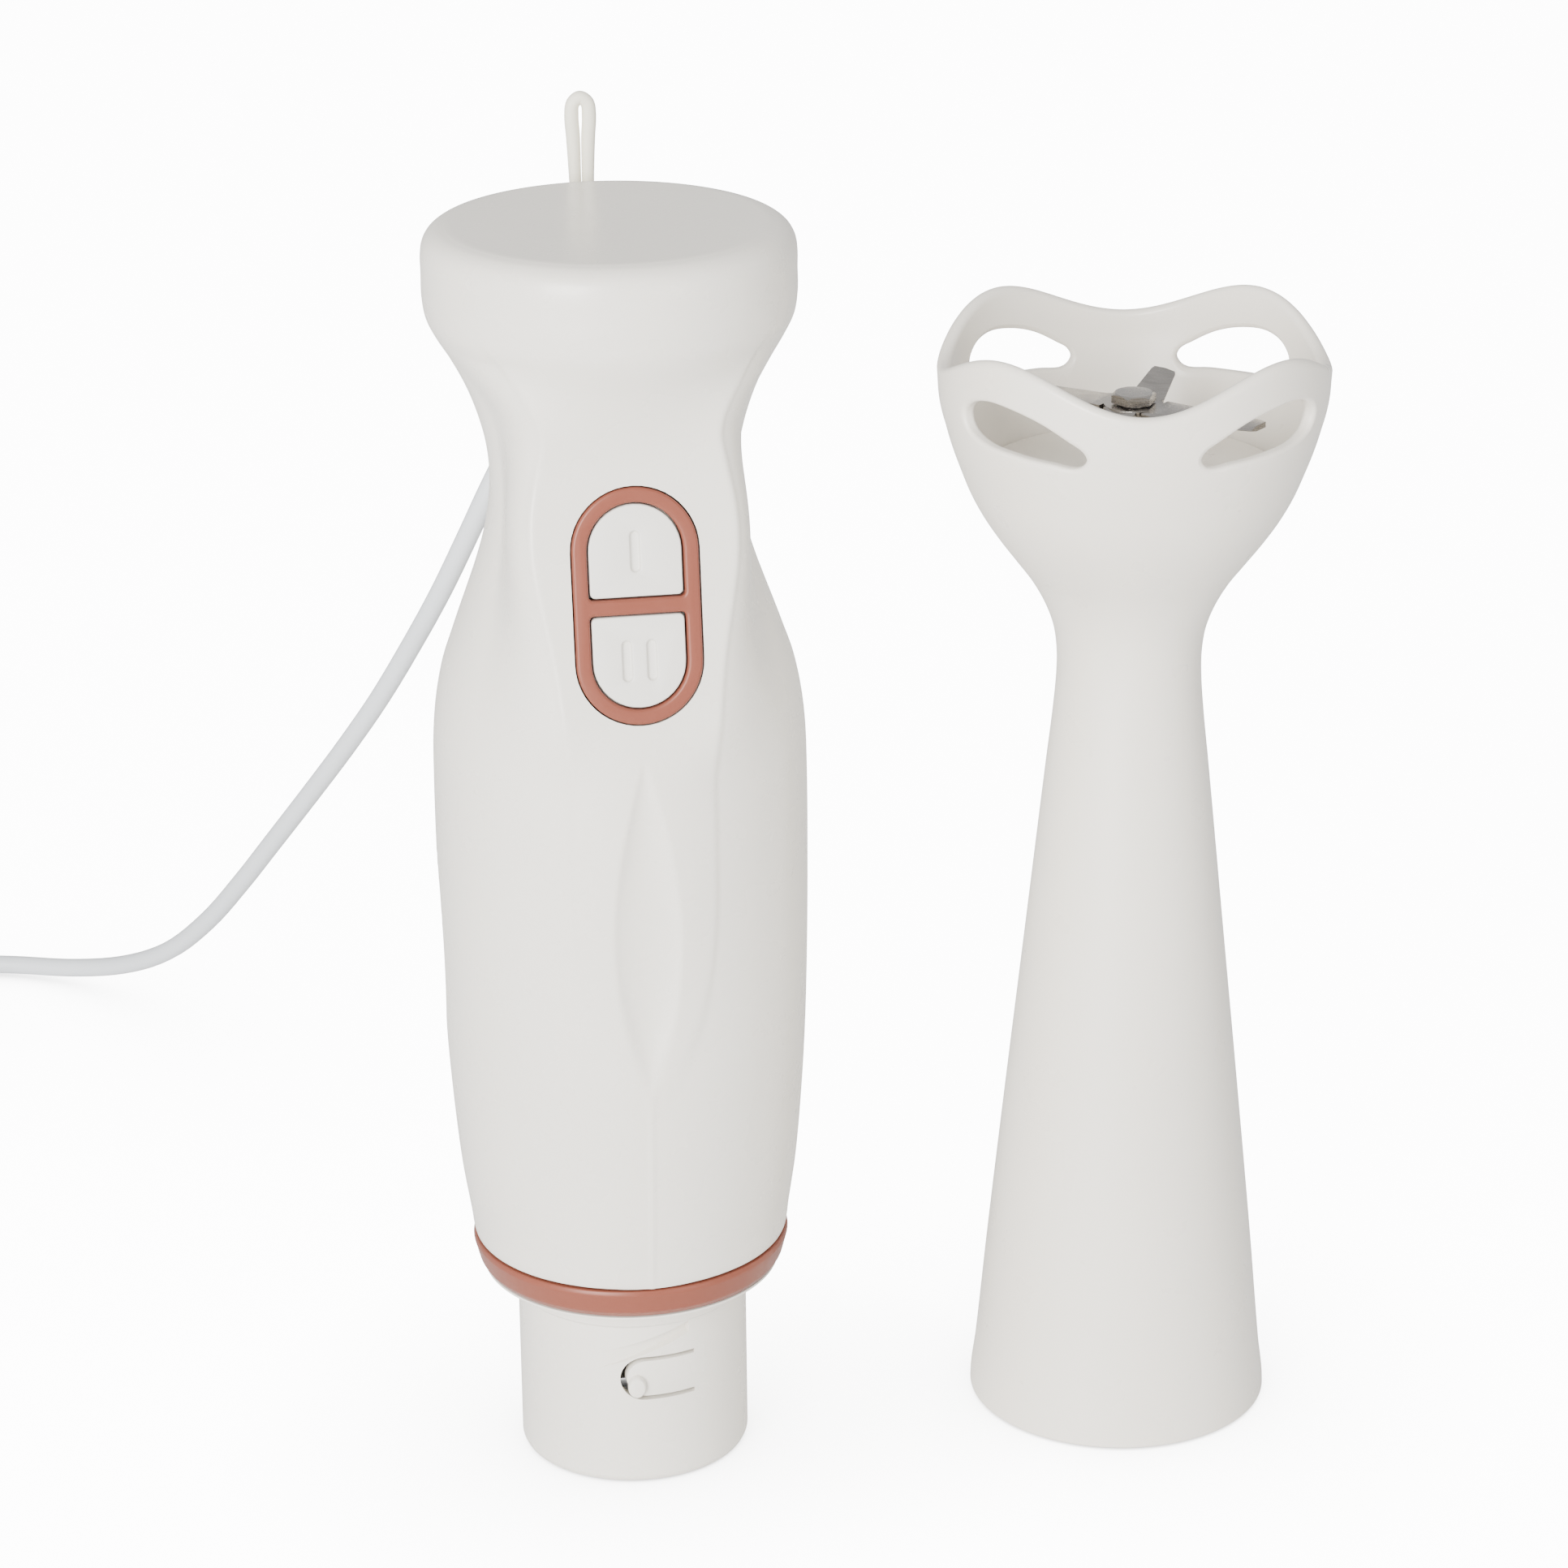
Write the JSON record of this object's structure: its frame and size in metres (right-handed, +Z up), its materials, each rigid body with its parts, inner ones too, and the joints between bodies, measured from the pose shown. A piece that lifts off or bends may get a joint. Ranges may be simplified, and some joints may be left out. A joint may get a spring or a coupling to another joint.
{
  "type": "immersion blender",
  "caption": "Corded hand blender taken apart for storage: motor unit on its spigot, with a speed switch pad, beside its detached blending leg with blade guard.",
  "frame": {"origin": "middle of the footprint of the motor unit and the leg together, on the surface that both stand on; the free cord isn't counted", "axes": "+Z up along both standing pieces, -Y the side of the motor unit with the switches, +X from the motor unit towards the leg"},
  "size_m": [0.3192, 0.2649, 0.2375],
  "materials": {
    "white_plastic": "glossy, faintly warm white",
    "button_plastic": "semi-gloss white",
    "copper_trim": "metallised rose gold, satin",
    "leg_plastic": "glossy warm white",
    "stainless_steel": "ground",
    "dark_plastic": "matt",
    "grey_rubber": "matt",
    "loop_rubber": "satin cream",
    "cord_pvc": "satin pale grey",
    "circuit_board": "solder mask",
    "laminated_iron": "dark, plated",
    "winding_copper": "enamelled copper",
    "sintered_bronze": "matt",
    "ferrite": "ceramic",
    "carbon": "matt",
    "pin_metal": "nickel plated"
  },
  "bodies": {
    "motor_unit": {"front_shell": "white_plastic", "rear_shell": "white_plastic", "coupling_spigot": "white_plastic", "trim_ring": "copper_trim", "switch_bezel": "copper_trim", "housing_screw_left": "stainless_steel", "housing_screw_right": "stainless_steel", "microswitch_low": "dark_plastic", "microswitch_high": "dark_plastic", "motor_bracket": "dark_plastic", "motor_end_bell": "dark_plastic", "filter_capacitor": "dark_plastic", "rectifier": "dark_plastic", "cord_clamp": "dark_plastic", "internal_lead": "dark_plastic", "spigot_seal": "grey_rubber", "vibration_ring": "grey_rubber", "hanging_loop": "loop_rubber", "strain_relief": "cord_pvc", "mains_cord": "cord_pvc", "mains_cord_tail": "cord_pvc", "cord_coil": "cord_pvc", "cord_tie": "cord_pvc", "mains_plug": "cord_pvc", "switch_board": "circuit_board", "filter_board": "circuit_board", "motor_can": "laminated_iron", "lower_bush": "sintered_bronze", "upper_bush": "sintered_bronze", "motor_magnet_left": "ferrite", "motor_magnet_right": "ferrite", "carbon_brush_left": "carbon", "carbon_brush_right": "carbon", "plug_pin_left": "pin_metal", "plug_pin_right": "pin_metal"},
    "armature": {"motor_shaft": "stainless_steel", "armature_core": "laminated_iron", "armature_winding_low": "winding_copper", "armature_winding_high": "winding_copper", "commutator": "winding_copper", "cooling_fan": "dark_plastic", "drive_dog": "dark_plastic"},
    "button_low": {"button_low": "button_plastic"},
    "button_high": {"button_high": "button_plastic"},
    "latch": {"latch_tongue": "white_plastic"},
    "leg": {"leg_housing": "leg_plastic", "leg_coupling_sleeve": "leg_plastic", "leg_bearing_carrier": "leg_plastic", "leg_lower_bush": "sintered_bronze", "bell_floor": "leg_plastic", "leg_upper_bush": "sintered_bronze", "shaft_seal": "grey_rubber"},
    "blade_drive": {"blade_shaft": "stainless_steel", "drive_socket": "dark_plastic", "shaft_circlip": "stainless_steel", "blade_collar": "stainless_steel", "blade": "stainless_steel", "blade_nut": "stainless_steel"}
  },
  "joints": [
    {"name": "armature_spin", "type": "hinge", "parent": "motor_unit", "child": "armature", "pos_m": [-0.04573, -0.002, 0.06], "axis": [0, 0, 1], "continuous": true},
    {"name": "button_low_press", "type": "slide", "parent": "motor_unit", "child": "button_low", "axis": [0, 0.9842, -0.1772], "range_m": [0, 0.0018], "stiffness_N_per_m": 900, "springref_m": -0.001},
    {"name": "button_high_press", "type": "slide", "parent": "motor_unit", "child": "button_high", "axis": [0, 0.9842, -0.1772], "range_m": [0, 0.0018], "stiffness_N_per_m": 900, "springref_m": -0.001},
    {"name": "latch_flex", "type": "hinge", "parent": "motor_unit", "child": "latch", "pos_m": [-0.03748, -0.01945, 0.0205], "axis": [0, 0, -1], "range_deg": [0, 6], "stiffness_Nm_per_rad": 0.4, "springref_deg": -1.72},
    {"name": "leg_lift", "type": "slide", "parent": "motor_unit", "child": "leg", "axis": [0, 0, 1], "range_m": [0, 0.25]},
    {"name": "blade_spin", "type": "hinge", "parent": "leg", "child": "blade_drive", "pos_m": [0.04374, 0, 0.1], "axis": [0, 0, 1], "continuous": true}
  ]
}
